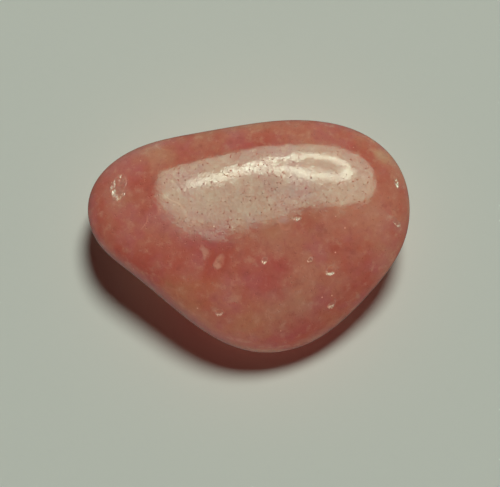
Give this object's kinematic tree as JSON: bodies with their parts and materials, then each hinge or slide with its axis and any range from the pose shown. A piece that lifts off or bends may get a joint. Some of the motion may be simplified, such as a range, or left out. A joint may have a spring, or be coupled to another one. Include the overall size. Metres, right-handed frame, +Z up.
{
  "type": "tumbled rhodochrosite pebble",
  "caption": "Tumbled, polished pebble of pink rhodochrosite with a rounded three-cornered outline, shallow chips and a small flat to rest on.",
  "frame": {"origin": "middle of the bounding box's base, on the surface the pebble rests on", "axes": "+X from the narrow nose to the blunt end along the longest side, +Y to the long back edge, +Z up"},
  "size_m": [0.0266, 0.019, 0.0087],
  "materials": {
    "rhodochrosite": "tumbled to a soft polish, slightly translucent salmon pink with cloudy patches and fine surface pits"
  },
  "bodies": {
    "root": {"tumbled_stone": "rhodochrosite"}
  },
  "joints": []
}
